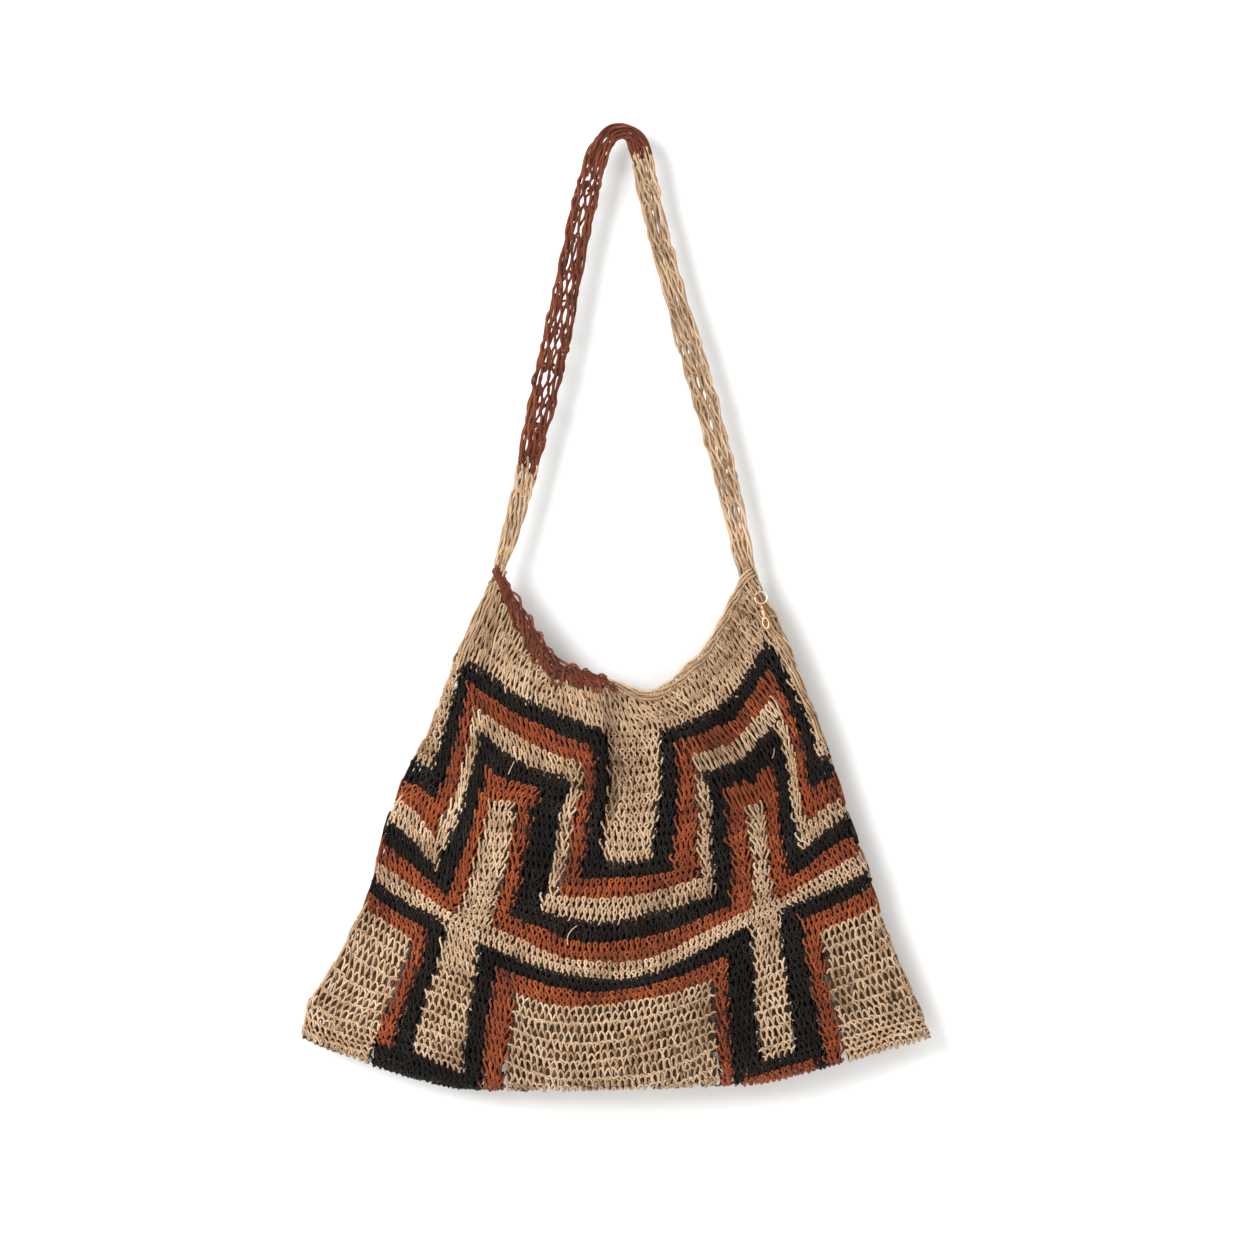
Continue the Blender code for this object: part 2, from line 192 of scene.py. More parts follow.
# The rim, with its widths by loop, and its hooks by place along, reach and curl
RUST_RIM_WIDTHS = ((-3, 6), (1, 8), (6, 12), (16, 14), (25, 13.5), (33, 11.5), (40, 7))
NATURAL_RIM_WIDTHS = ((38, 6), (45, 8), (60, 8.5), (80, 8), (96, 6))
BACK_RIM_WIDTHS = ((-3, 5), (20, 7), (76, 7), (96, 5))
RIM_HOOKS = (
    (84, 5.0, 0.5),
    (89, 8.0, -0.5),
    (94, 6.0, 0.4),
    (101, 5.5, -0.4),
    (107, 7.5, 0.5),
    (113, 8.5, -0.4),
    (119, 6.0, 0.5),
    (124, 7.5, -0.5),
)
LOOSE_ENDS = (
    # loop, row, length, way off from straight down in degrees, bend, colour
    (19.8, 6.0, 11, -20, 0.3, "natural"),
    (39.5, 13.2, 17, -50, 1.4, "natural"),
    (78.0, 15.8, 13, -140, 2.6, "natural"),
    (76.5, 16.0, 9, 30, -1.5, "natural"),
    (81.0, 7.0, 6, 100, 1.0, "natural"),
    (93.0, 2.2, 9, 150, -2.2, "natural"),
    (80.0, 16.4, 10, 15, 0.5, "rust"),
    (34.0, 1.2, 8, 20, 1.8, "rust"),
)


def smooth_through(knots, values, at):
    """Reads smooth curves at the places asked for, through rows of values that stand at the knots."""
    knots = np.asarray(knots, float)
    values = np.asarray(values, float)
    slopes = np.gradient(values, axis=0)
    slopes[1:-1] = (values[2:] - values[:-2]) / (knots[2:] - knots[:-2])[:, None]
    slopes[0] /= knots[1] - knots[0]
    slopes[-1] /= knots[-1] - knots[-2]
    k = np.clip(np.searchsorted(knots, at, side="right") - 1, 0, len(knots) - 2)
    width = (knots[k + 1] - knots[k])[:, None]
    t = (np.asarray(at) - knots[k])[:, None] / width
    bend = t * t * (3 - 2 * t)
    leaving = (t - 2 * t**2 + t**3) * width * slopes[k]
    arriving = (t**3 - t**2) * width * slopes[k + 1]
    return values[k] + (values[k + 1] - values[k]) * bend + leaving + arriving


def level_grid(table):
    """A table of levels, read at every place of the fine grid of rows and loops."""
    table = np.array(table, float)
    inner = GRID_ROWS[GRID_ROWS >= 0]
    by_row = smooth_through(table[:, 0], table[:, 1:], inner)
    grid = smooth_through(LINES, by_row.T, GRID_LOOPS).T
    above = -GRID_ROWS[GRID_ROWS < 0][:, None]
    per_row = (grid[4] - grid[0]) / (4 * GRID_STEP)
    return np.concatenate((grid[0] - above * per_row, grid))


GRID_STEP = 0.25
GRID_ROWS = np.arange(-1.5, 26.6, GRID_STEP)
GRID_LOOPS = np.arange(LINES[0], LINES[-1] + 0.01, 0.5)
GRID_X = level_grid(LEVEL_X)
GRID_Z = level_grid(LEVEL_Z)
LENGTHS = np.concatenate(
    (np.zeros((len(GRID_ROWS), 1)), np.cumsum(np.hypot(np.diff(GRID_X), np.diff(GRID_Z)), axis=1)), axis=1
)


def read_grid(grid, loop, row):
    """Reads a grid between its places."""
    across = np.clip((loop - GRID_LOOPS[0]) / 0.5, 0, len(GRID_LOOPS) - 1.001)
    down = np.clip((row - GRID_ROWS[0]) / GRID_STEP, 0, len(GRID_ROWS) - 1.001)
    i = across.astype(int)
    j = down.astype(int)
    u = across - i
    v = down - j
    upper = grid[j, i] * (1 - u) + grid[j, i + 1] * u
    lower = grid[j + 1, i] * (1 - u) + grid[j + 1, i + 1] * u
    return upper * (1 - v) + lower * v


def underside_row(loop):
    return smooth_through(LINES, np.array(UNDERSIDE_ROW)[:, None], np.ravel(loop))[:, 0]


def rounded_edge(distance, radius):
    """Rises from 0 at an edge to 1 at the radius, as a quarter circle does."""
    inside = np.clip(distance / radius, 0, 1)
    return np.sqrt(1 - (1 - inside) ** 2)


def fold_height(along, row):
    """How far the folds lift the face."""
    height = np.zeros_like(along)
    for top_loop, bottom_loop, first, last, rise, left_spread, right_spread in FOLDS:
        crest = np.interp(row, (first, last), (top_loop, bottom_loop))
        away = along - read_grid(LENGTHS, crest, row)
        spread = np.where(away < 0, left_spread, right_spread)
        fade = np.sin(np.pi * np.clip((row - first) / (last - first), 0, 1)) ** 2
        height += rise * fade * np.exp(-((away / spread) ** 2))
    return height


def sheet_place(loop, row, front):
    """Places on the outside of the bag. What runs past the underside or a side goes on over the other face."""
    inside = np.clip(loop, LINES[0], LINES[-1])
    past_side = loop != inside
    loop = 2 * inside - loop
    turn = underside_row(loop)
    past_bottom = row > turn
    on_face = np.where(past_side != past_bottom, not front, front)
    row = np.where(past_bottom, 2 * turn - row, row)
    x = read_grid(GRID_X, loop, row)
    z = read_grid(GRID_Z, loop, row)
    along = read_grid(LENGTHS, loop, row)
    length = read_grid(LENGTHS, np.full_like(loop, LINES[-1]), row)
    from_side = np.minimum(along, length - along)
    from_bottom = np.hypot(x - read_grid(GRID_X, loop, turn), z - read_grid(GRID_Z, loop, turn))
    edge = rounded_edge(from_side, SIDE_ROUNDING) * rounded_edge(from_bottom, BOTTOM_ROUNDING)
    table = np.array(FULLNESS)
    face, back = smooth_through(table[:, 0], table[:, 1:], np.maximum(row, 0)).T
    dome = np.sin(np.pi * np.clip(along / length, 0, 1)) ** 0.8
    folds = fold_height(along, row) * np.minimum(1, from_side / (3 * SIDE_ROUNDING))
    y_face = -edge * (SIDE_ROUNDING + face * dome + folds)
    y_back = edge * (BACK_DEPTH + back * dome)
    return np.stack((x, np.where(on_face, y_face, y_back), z), axis=-1)


def unit(vectors):
    return vectors / np.maximum(np.linalg.norm(vectors, axis=-1, keepdims=True), 1e-9)


def on_sheet(loop, row, lift, front=True):
    """Points lifted off the sheet along its outward direction, with those directions."""
    across = sheet_place(loop + 0.15, row, front) - sheet_place(loop - 0.15, row, front)
    down = sheet_place(loop, row + 0.06, front) - sheet_place(loop, row - 0.06, front)
    outward = unit(np.cross(across, down)) * (-1 if front else 1)
    return sheet_place(loop, row, front) + outward * lift[:, None], outward


def on_strap(across, along, lift):
    """Points lifted off the strap's middle surface, with the directions that they are lifted in."""
    table = np.array(STRAP, float)
    total = table[-1, 0]
    clipped = np.clip(along, 0, total)
    values = smooth_through(table[:, 0], table[:, 1:], clipped)
    before = smooth_through(table[:, 0], table[:, 1:3], np.clip(clipped - 2, 0, total))
    after = smooth_through(table[:, 0], table[:, 1:3], np.clip(clipped + 2, 0, total))
    run = unit(after - before)
    beyond = (along - clipped)[:, None]
    middle = values[:, :2] + run * beyond
    aside = (across * values[:, 2] / 2)[:, None] * np.stack((-run[:, 1], run[:, 0]), axis=-1)
    place = middle + aside
    points = np.stack((place[:, 0], -lift, place[:, 1]), axis=-1)
    outward = np.tile((0.0, -1.0, 0.0), (len(points), 1))
    return points, outward


def drift(rng, turns, spread):
    """Random values that stand half a turn apart, joined smoothly, read along the turns."""
    knots = rng.normal(0, spread, int(turns[-1] * 2) + 3)
    k = np.floor(turns * 2).astype(int)
    share = turns * 2 - k
    blend = share * share * (3 - 2 * share)
    return knots[k] * (1 - blend) + knots[k + 1] * blend


def waver(loop, row, phase):
    """A slow wander between -1 and 1, for slants and widths that drift over the net."""
    return (np.sin(0.31 * loop + 1.7 * row + phase) + np.sin(0.17 * loop - 0.9 * row + 2.3 * phase)) / 2


def hourglass_path(rng, count, slant, style):
    """One string worked into a row of hourglass loops.

    Gives its turns, its place across in loops, its height from -1 at the foot of the
    loops to 1 at their top, and its lift, which parts the strands where they cross.
    """
    turns = np.linspace(0, count, count * style.steps + 1)
    t = 2 * np.pi * turns
    waist = style.waist + drift(rng, turns, 0.07 * style.uneven)
    bow = (style.top + style.foot) / 2 + (style.top - style.foot) / 2 * np.cos(t)
    bow = bow + drift(rng, turns, 0.07 * style.uneven)
    across = turns - waist * np.sin(t) - bow * (np.sin(2 * t) - style.round * np.sin(4 * t))
    height = (np.cos(t) + style.step * np.cos(3 * t)) / (1 + style.step)
    height = height * (1 + drift(rng, turns, 0.14 * style.uneven))
    across = across - (slant + drift(rng, turns, 0.14 * style.uneven)) * height
    foot_bend = np.maximum(0, -height) ** 2
    top_bend = np.maximum(0, height) ** 2
    across = across + style.curl * (foot_bend - 0.6 * top_bend)
    lift = 0.5 * np.cos(t) + style.cross * np.sin(t) + drift(rng, turns, 0.25 * style.uneven)
    return turns, across, height, lift


def row_line(k, front):
    """The row at the top of the chart's row k. The back hangs a little lower at the mouth."""
    return LAST_ROW_LINES.get(k, float(k) if k or front else BACK_DROP)


def laps_in(loop):
    """How many stripes lie outside of a loop: five in a figure's column, and none past its stripes."""
    laps = -1
    for first, last, left_edges, right_edges in FIGURES:
        if first <= loop < last:
            return len(STRIPES)
        edges, distance = (left_edges, first - loop) if loop < first else (right_edges, loop - last)
        laps = max(laps, len(STRIPES) - 1 - sum(distance > edge for edge in edges))
    return laps


def chart_colour(loop, k):
    """The colour of the chart at a loop of row k."""
    lap = laps_in(loop)
    inside_arch = lap >= 0
    for first, last, closing in (LEFT_FOOT_CLOSING, RIGHT_FOOT_CLOSING):
        if first <= loop < last and k >= ROWS - len(closing):
            return closing[k - ROWS + len(closing)]
    if k < FIRST_ROW:
        return "natural"
    if lap == len(STRIPES):
        return STRIPES[k - FIRST_ROW] if k < FIRST_ROW + len(STRIPES) else "natural"
    if k >= FOOT_ROW:
        beside = lap if inside_arch else 0
        if beside == 4 or k == FOOT_ROW:
            return "black"
        if beside == 3 or k == FOOT_ROW + 1:
            return "rust"
        return "natural"
    if k == BAR_ROW:
        return "natural"
    if not inside_arch:
        return STRIPES[k - TURNING_ROW] if k >= TURNING_ROW else "natural"
    if k >= TURNING_ROW + lap:
        return STRIPES[k - TURNING_ROW]
    return STRIPES[min(k - FIRST_ROW, lap)]


def colour_runs(k, first, last):
    """The runs of one colour along row k, as first loop, last loop and colour."""
    runs = []
    for loop in np.arange(first, last, 0.5):
        colour = chart_colour(loop + 0.25, k)
        if runs and runs[-1][2] == colour:
            runs[-1][1] = loop + 0.5
        else:
            runs.append([loop, loop + 0.5, colour])
    return runs


def worked_rows(front):
    """The chart's row, with its top and bottom. The stretched top of the face has more of them."""
    lines = np.linspace(row_line(0, front), FIRST_ROW, (TOP_ROWS if front else FIRST_ROW) + 1)
    rows = [(min(i, FIRST_ROW - 1), lines[i], lines[i + 1]) for i in range(len(lines) - 1)]
    return rows + [(k, row_line(k, front), row_line(k + 1, front)) for k in range(FIRST_ROW, ROWS)]


def row_run(rng, front, top, bottom, start, end, style, colour, shift):
    """The string of one run of loops between two loops, and between the top and bottom of a row.

    Shifted by half a loop in every second row, the loops hang between those above.
    """
    middle = (top + bottom) / 2
    ends = np.array((start, end), float)
    trim = np.array((1, -1)) * RUN_TRIM[colour] + rng.normal(0, 0.2, 2)
    ends += trim * ((ends > LINES[0]) & (ends < LINES[-1]))
    at_side = (ends <= LINES[0]) | (ends >= LINES[-1])
    lengths = np.interp(ends, GRID_LOOPS, line_lengths(middle)) + np.array((-1, 1)) * SIDE_WRAP * at_side
    count = max(1, round((lengths[1] - lengths[0]) / style.pitch))
    slant = style.lean * min(1, 0.3 + (end - start) / 12) * (1.3 + waver(start, top, 0.7))
    turns, across, height, lift = hourglass_path(rng, count, slant, style)
    along = lengths[0] + (lengths[1] - lengths[0]) * (across + shift) / (count + 0.5)
    loop = loops_at(along, middle)
    row = middle - (bottom - top) / 2 * style.reach * height + 0.1 * waver(loop, top, 2.9)
    row = np.maximum(row, row_line(0, front) - 0.04)
    points, outward = on_sheet(loop, row, lift - 0.9 + RUN_LIFT[colour], front)
    tone = np.repeat(rng.normal(0, 1, count + 1), style.steps)[: len(points)]
    return points, outward, tone


def row_strand(rng, k, start, end):
    """The strand that shows along the top of a row of the open field."""
    length = np.diff(np.interp((start, end), GRID_LOOPS, line_lengths(k)))[0]
    turns = np.linspace(0, length / FIELD_LOOP.pitch, max(8, int(length / 0.9)))
    loop = np.linspace(start, end, len(turns))
    row = k + 0.035 * np.sin(2 * np.pi * turns) + drift(rng, turns, 0.05) + 0.1 * waver(loop, k, 2.9)
    lift = 0.5 * np.sin(2 * np.pi * turns + 1) - 0.5 + drift(rng, turns, 0.2)
    points, outward = on_sheet(loop, row, lift)
    return points, outward, drift(rng, turns, 0.7)


def sheet_strings(front, seed):
    """Every run of loops on one face of the bag, as lists of strings by colour."""
    rng = np.random.default_rng(seed)
    strings = {"natural": [], "rust": [], "black": []}
    for level, (k, top, bottom) in enumerate(worked_rows(front)):
        middle = (top + bottom) / 2
        shown = [loop for loop in range(LINES[0], LINES[-1]) if middle < underside_row([loop + 0.5])[0] + 0.25]
        for group in np.split(shown, np.where(np.diff(shown) > 1)[0] + 1):
            first = RIM_END if top == 0 and front else int(group[0])
            for start, end, colour in colour_runs(k, first, int(group[-1]) + 1):
                style = loop_style(front, k, start, end, colour)
                lines = np.linspace(top, bottom, style.rows + 1)
                for number, (upper, lower) in enumerate(zip(lines[:-1], lines[1:])):
                    shift = 0.5 * ((level * style.rows + number) % 2)
                    strings[colour].append(row_run(rng, front, upper, lower, start, end, style, colour, shift))
                if style is FIELD_LOOP and k > FIELD_ROW:
                    strings[colour].append(row_strand(rng, top, start, end))
    return strings


def loop_style(front, k, start, end, colour):
    """How the loops are worked in a run of row k between two loops."""
    if not front:
        return BACK_LOOP
    if k < FIRST_ROW:
        return TOP_LOOP
    if colour == "natural" and k >= FIELD_ROW:
        return FIELD_LOOP
    over_arch = k < ARCH_END_ROW and start > ARCH_FIRST_LOOP and end - start > ARCH_SHORTEST_RUN
    return ARCH_LOOP if over_arch else BAND_LOOP


def line_lengths(row):
    """Distances along a row at the grid's loops."""
    return read_grid(LENGTHS, GRID_LOOPS, np.full_like(GRID_LOOPS, row))


def loops_at(along, row):
    """The loops at distances along a row, also at distances a little past the bag's sides."""
    lengths = line_lengths(row)
    inside = np.clip(along, lengths[0], lengths[-1])
    edge_loop = np.where(along < inside, lengths[2] - lengths[0], lengths[-1] - lengths[-3])
    return np.interp(inside, lengths, GRID_LOOPS) + (along - inside) / edge_loop


def lengthwise_strands(rng, place, length, strands, wave, spread, bases=(-1, 1), disorder=0.35):
    """Strands that run side by side along an edge, each pair crossing over and under.

    place takes distances along, places across from -1 to 1, and lifts.
    """
    strings = []
    steps = max(8, int(length / 1.5))
    along = np.linspace(0, length, steps)
    turns = along / wave
    common = drift(rng, turns, 0.9)
    for number in range(strands):
        base = bases[0] + (bases[1] - bases[0]) * (number + 0.5) / strands
        phase = np.pi * (number % 2) + common + rng.normal(0, disorder)
        swing = np.sin(2 * np.pi * turns + phase + drift(rng, turns, 0.35))
        across = base + spread * swing * (1 + drift(rng, turns, 0.35)) + drift(rng, turns, 0.04)
        lift = 0.7 * np.cos(2 * np.pi * turns + phase) + drift(rng, turns, 0.3)
        points, outward = place(along, across, lift)
        tone = drift(rng, turns, 0.6) + rng.normal(0, 0.8)
        strings.append((points, outward, tone))
    return strings


def rim_place(first, last, widths, above, lift_off, front=True):
    """A place function for strands along the mouth, between two loops. Its widths go by loop."""
    lengths = line_lengths(0.0)
    start = np.interp(first, GRID_LOOPS, lengths)
    loops, wide = np.array(widths, float).T

    def place(along, across, lift):
        loop = np.interp(start + along, lengths, GRID_LOOPS)
        edge = np.full_like(loop, row_line(0, front))
        per_row = np.linalg.norm(sheet_place(loop, edge + 1, front) - sheet_place(loop, edge, front), axis=-1)
        down = (across + 1) / 2 * np.interp(loop, loops, wide) - above
        return on_sheet(loop, edge + down / per_row, lift + lift_off, front)

    return place, float(np.interp(last, GRID_LOOPS, lengths) - start)


def rim_hooks(rng, place):
    """Curls of string that hang from the lower edge of the rim."""
    strings = []
    for along, reach, curl in RIM_HOOKS:
        angle = np.linspace(-0.25, 0.95, 22) * np.pi
        reaching = reach * (0.75 + 0.25 * rng.random())
        x = along + 0.6 * curl * (1 - np.cos(angle)) * reaching + 0.15 * reaching * np.sin(2 * angle)
        across = 0.6 + 0.16 * reaching * np.sin(angle)
        points, outward = place(x, across, 0.8 + drift(rng, angle + 2, 0.2))
        strings.append((points, outward, np.full(len(points), rng.normal(0, 0.8))))
    return strings


def side_place(inner, outer, last_row):
    """A place function for strands down the bag's side, between two loops, from the mouth."""
    rows = np.linspace(-0.3, last_row, 80)
    points = sheet_place(np.full(80, (inner + outer) / 2), rows, True)
    lengths = np.concatenate(([0], np.cumsum(np.linalg.norm(np.diff(points, axis=0), axis=1))))

    def place(along, across, lift):
        row = np.interp(along, lengths, rows)
        loop = (inner + outer) / 2 + across * (outer - inner) / 2
        return on_sheet(loop, row, lift + 0.5)

    return place, float(lengths[-1])


def strap_strings(seed):
    """The looped band of the strap, drawn out lengthwise, with the knots where its loops hang in each other."""
    rng = np.random.default_rng(seed)
    total = STRAP[-1][0] + 2 * STRAP_OVERLAP
    strings = {"natural": [], "rust": []}
    for strands, bases, wave, spread, layer, begin, end in STRAP_LAYERS:

        def place(along, across, lift):
            inside = np.clip(across, -1.08, 1.08) - 0.1 * np.sign(across) * np.maximum(0, np.abs(across) - 0.8)
            return on_strap(inside, along + begin, lift + layer)

        for points, outward, tone in lengthwise_strands(rng, place, end - begin, strands, wave, spread, bases):
            along = np.linspace(begin, end, len(points))
            edges = np.searchsorted(along, np.array(STRAP_RUST) + rng.normal(0, 4.5, 2))
            first, last = edges
            for part, colour in ((slice(0, first + 2), "natural"), (slice(first, last), "rust"), (slice(max(last - 2, 0), None), "natural")):
                if len(points[part]) > 4:
                    strings[colour].append((points[part], outward[part], tone[part]))
    for k in range(1, int(total / STRAP_KNOT_GAP)):
        middle = k * STRAP_KNOT_GAP - STRAP_OVERLAP + rng.normal(0, 2.5)
        turns, across, height, lift = hourglass_path(rng, 3, rng.normal(0, 0.3), KNOT_LOOP)
        points, outward = on_strap(np.clip(across * 2 / 3 - 1, -1, 1) * 0.8, middle - height * 3.2, lift * 0.8 + 0.3)
        colour = "rust" if STRAP_RUST[0] < middle < STRAP_RUST[1] else "natural"
        strings[colour].append((points, outward, np.full(len(points), rng.normal(-0.8, 0.6))))
    return strings


def string_mesh(name, strings, sides, radius):
    """One mesh of round strings. Its map holds the distance along a string and the way round it."""
    ring = np.arange(sides) * 2 * np.pi / sides
    positions, quads, caps, marks, tones, painted_inside_shades = [], [], [], [], [], []
    base = 0
    for points, outward, tone in strings:
        count = len(points)
        forward = unit(np.gradient(points, axis=0))
        aside = unit(np.cross(forward, outward))
        above = np.cross(aside, forward)
        steps = np.linalg.norm(np.diff(points, axis=0), axis=1)
        along = np.concatenate(([0], np.cumsum(steps)))
        shape = np.full(count, radius) * (1 + 0.06 * np.sin(along * 0.7 + tone[0] * 3))
        shape[0] *= 0.6
        shape[-1] *= 0.6
        circle = np.cos(ring)[None, :, None] * aside[:, None] + np.sin(ring)[None, :, None] * above[:, None]
        positions.append((points[:, None] + shape[:, None, None] * circle).reshape(-1, 3))
        i = np.arange(count - 1)[:, None] * sides
        j = np.arange(sides)[None]
        following = (j + 1) % sides
        quads.append(base + np.stack((i + j, i + following, i + following + sides, i + j + sides), -1).reshape(-1, 4))
        caps.append(base + np.arange(sides)[::-1])
        caps.append(base + (count - 1) * sides + np.arange(sides))
        u = np.broadcast_to(along[:-1, None], (count - 1, sides))
        u_next = np.broadcast_to(along[1:, None], (count - 1, sides))
        v = np.broadcast_to(j / sides, (count - 1, sides))
        v_next = v + 1 / sides
        marks.append(np.stack((u, v, u, v_next, u_next, v_next, u_next, v), -1).reshape(-1, 2))
        tones.append(np.repeat(tone, sides))
        # Painted shade: the side of each string that faces away from its outward direction, into the bag or towards
        # the wall, is marked to be darkened
        painted_inside_shades.append(np.tile(np.clip(0.35 - np.sin(ring), 0, 1), count))
        base += count * sides
    positions = np.concatenate(positions) * MM
    quads = np.concatenate(quads)
    caps = np.array(caps)
    mesh = bpy.data.meshes.new(name)
    mesh.vertices.add(len(positions))
    mesh.vertices.foreach_set("co", positions.ravel())
    mesh.loops.add(quads.size + caps.size)
    mesh.loops.foreach_set("vertex_index", np.concatenate((quads.ravel(), caps.ravel())).astype(np.int32))
    mesh.polygons.add(len(quads) + len(caps))
    starts = np.concatenate((np.arange(len(quads)) * 4, quads.size + np.arange(len(caps)) * sides))
    mesh.polygons.foreach_set("loop_start", starts.astype(np.int32))
    mesh.update(calc_edges=True)
    layer = mesh.uv_layers.new(name="string")
    flat = np.concatenate((np.concatenate(marks).ravel(), np.zeros(caps.size * 2)))
    layer.data.foreach_set("uv", flat)
    for label, values in (("tone", tones), ("inside", painted_inside_shades)):
        mesh.attributes.new(label, "FLOAT", "POINT").data.foreach_set("value", np.concatenate(values))
    mesh.shade_smooth()
    mesh.validate()
    made = bpy.data.objects.new(name, mesh)
    bpy.context.scene.collection.objects.link(made)
    return made


class Nodes:
    """A short way to add and join the nodes of one material."""

    def __init__(self, name):
        self.material = bpy.data.materials.new(name)
        self.material.use_nodes = True
        self.tree = self.material.node_tree
        self.shader = self.tree.nodes["Principled BSDF"]

    def add(self, kind, values=None, **settings):
        node = self.tree.nodes.new(kind)
        for key, value in settings.items():
            setattr(node, key, value)
        for key, value in (values or {}).items():
            if isinstance(value, bpy.types.NodeSocket):
                self.tree.links.new(value, node.inputs[key])
            else:
                node.inputs[key].default_value = value
        return node

    def maths(self, operation, first, second=0.0, third=0.0):
        node = self.add("ShaderNodeMath", {0: first, 1: second, 2: third}, operation=operation)
        return node.outputs[0]

    def blend(self, share, first, second, kind="MIX"):
        node = self.add("ShaderNodeMix", data_type="RGBA", blend_type=kind)
        for key, value in ((0, share), (6, first), (7, second)):
            if isinstance(value, bpy.types.NodeSocket):
                self.tree.links.new(value, node.inputs[key])
            else:
                node.inputs[key].default_value = value
        return node.outputs[2]

    def to_shader(self, socket, value):
        self.tree.links.new(value, self.shader.inputs[socket])


def string_material(name, shaded, middle, lit, sheen=0.12, gloss=0.2):
    """Two-ply plant fibre string, seen along the map of its length and its way round, with painted shade in its ply
    grooves and on the sides of it that face inwards.
    """
    nodes = Nodes(name)
    place = nodes.add("ShaderNodeUVMap", uv_map="string").outputs[0]
    parts = nodes.add("ShaderNodeSeparateXYZ", {0: place})
    along, way_round = parts.outputs[0], parts.outputs[1]
    lay = nodes.maths("ADD", nodes.maths("DIVIDE", along, PLY_LENGTH), way_round)
    ply = nodes.maths("ABSOLUTE", nodes.maths("SINE", nodes.maths("MULTIPLY", lay, 2 * math.pi)))
    streaks = nodes.add("ShaderNodeCombineXYZ", {0: nodes.maths("MULTIPLY", along, 0.25), 1: nodes.maths("MULTIPLY", lay, 9.0)})
    fibre = nodes.add("ShaderNodeTexNoise", {"Vector": streaks.outputs[0], "Scale": 1.6, "Detail": 3.0, "Roughness": 0.6}).outputs[0]
    body = nodes.add("ShaderNodeTexCoord").outputs["Object"]
    patches = nodes.add("ShaderNodeTexNoise", {"Vector": body, "Scale": 26.0, "Detail": 2.0}).outputs[0]
    tone = nodes.add("ShaderNodeAttribute", attribute_name="tone").outputs["Fac"]
    amount = nodes.maths("MULTIPLY_ADD", tone, 0.10, nodes.maths("MULTIPLY_ADD", fibre, 0.9, nodes.maths("MULTIPLY_ADD", patches, 0.7, -0.32)))
    ramp = nodes.add("ShaderNodeValToRGB", {0: amount})
    ramp.color_ramp.elements[0].position = 0.15
    ramp.color_ramp.elements[0].color = (*shaded, 1)
    ramp.color_ramp.elements[1].position = 0.85
    ramp.color_ramp.elements[1].color = (*lit, 1)
    between = ramp.color_ramp.elements.new(0.5)
    between.color = (*middle, 1)
    # Painted shade: the sides of the strings that the inside value marks are darkened, least in red and most in blue,
    # for a warm shade
    inside = nodes.add("ShaderNodeAttribute", attribute_name="inside").outputs["Fac"]
    # Painted shade in the ply grooves: the colour is scaled to 0.6 in each groove and to 1.05 on each ply's crest
    wear_and_groove_shade = nodes.maths("MULTIPLY_ADD", ply, 0.45, 0.6)
    painted_shade_factors = [nodes.maths("MULTIPLY", wear_and_groove_shade, nodes.maths("MULTIPLY_ADD", inside, inside_shade_loss, 1.0)) for inside_shade_loss in (-0.68, -0.76, -0.82)]
    colour_with_painted_shade = nodes.blend(1.0, ramp.outputs[0], nodes.add("ShaderNodeCombineColor", dict(enumerate(painted_shade_factors))).outputs[0], "MULTIPLY")
    nodes.to_shader("Base Color", colour_with_painted_shade)
    relief = nodes.maths("MULTIPLY_ADD", fibre, 0.35, ply)
    bump = nodes.add("ShaderNodeBump", {"Strength": 0.55, "Distance": 0.25 * MM, "Height": relief})
    nodes.to_shader("Normal", bump.outputs[0])
    nodes.shader.inputs["Roughness"].default_value = 0.86
    nodes.shader.inputs["Sheen Weight"].default_value = sheen
    nodes.shader.inputs["Sheen Roughness"].default_value = 0.5
    nodes.shader.inputs["Specular IOR Level"].default_value = gloss
    return nodes.material


def metal_material(name, colour, wear_and_groove_shade):
    """Plated metal, a little rubbed, with fine scratches."""
    nodes = Nodes(name)
    body = nodes.add("ShaderNodeTexCoord").outputs["Object"]
    rubbed = nodes.add("ShaderNodeTexNoise", {"Vector": body, "Scale": 600.0, "Detail": 3.0}).outputs[0]
    nodes.to_shader("Base Color", nodes.blend(rubbed, (*wear_and_groove_shade, 1), (*colour, 1)))
    stretched = nodes.add("ShaderNodeMapping", {"Vector": body, "Scale": (4000.0, 4000.0, 500.0)}).outputs[0]
    scratches = nodes.add("ShaderNodeTexNoise", {"Vector": stretched, "Scale": 1.0, "Detail": 2.0}).outputs[0]
    nodes.to_shader("Roughness", nodes.maths("MULTIPLY_ADD", scratches, 0.25, 0.34))
    bump = nodes.add("ShaderNodeBump", {"Strength": 0.15, "Distance": 0.02 * MM, "Height": scratches})
    nodes.to_shader("Normal", bump.outputs[0])
    nodes.shader.inputs["Metallic"].default_value = 1.0
    return nodes.material


def wall_material():
    """A white wall that lets the bag be seen through it from behind."""
    nodes = Nodes("wall")
    nodes.shader.inputs["Base Color"].default_value = (0.86, 0.86, 0.86, 1)
    nodes.shader.inputs["Roughness"].default_value = 1.0
    nodes.shader.inputs["Specular IOR Level"].default_value = 0.0
    grain = nodes.add("ShaderNodeTexNoise", {"Scale": 900.0})
    bump = nodes.add("ShaderNodeBump", {"Strength": 0.05, "Distance": 0.1 * MM, "Height": grain.outputs[0]})
    nodes.to_shader("Normal", bump.outputs[0])
    clear = nodes.add("ShaderNodeBsdfTransparent").outputs[0]
    behind = nodes.add("ShaderNodeNewGeometry").outputs["Backfacing"]
    mixed = nodes.add("ShaderNodeMixShader", {0: behind, 1: nodes.shader.outputs[0], 2: clear})
    nodes.tree.links.new(mixed.outputs[0], nodes.tree.nodes["Material Output"].inputs[0])
    return nodes.material


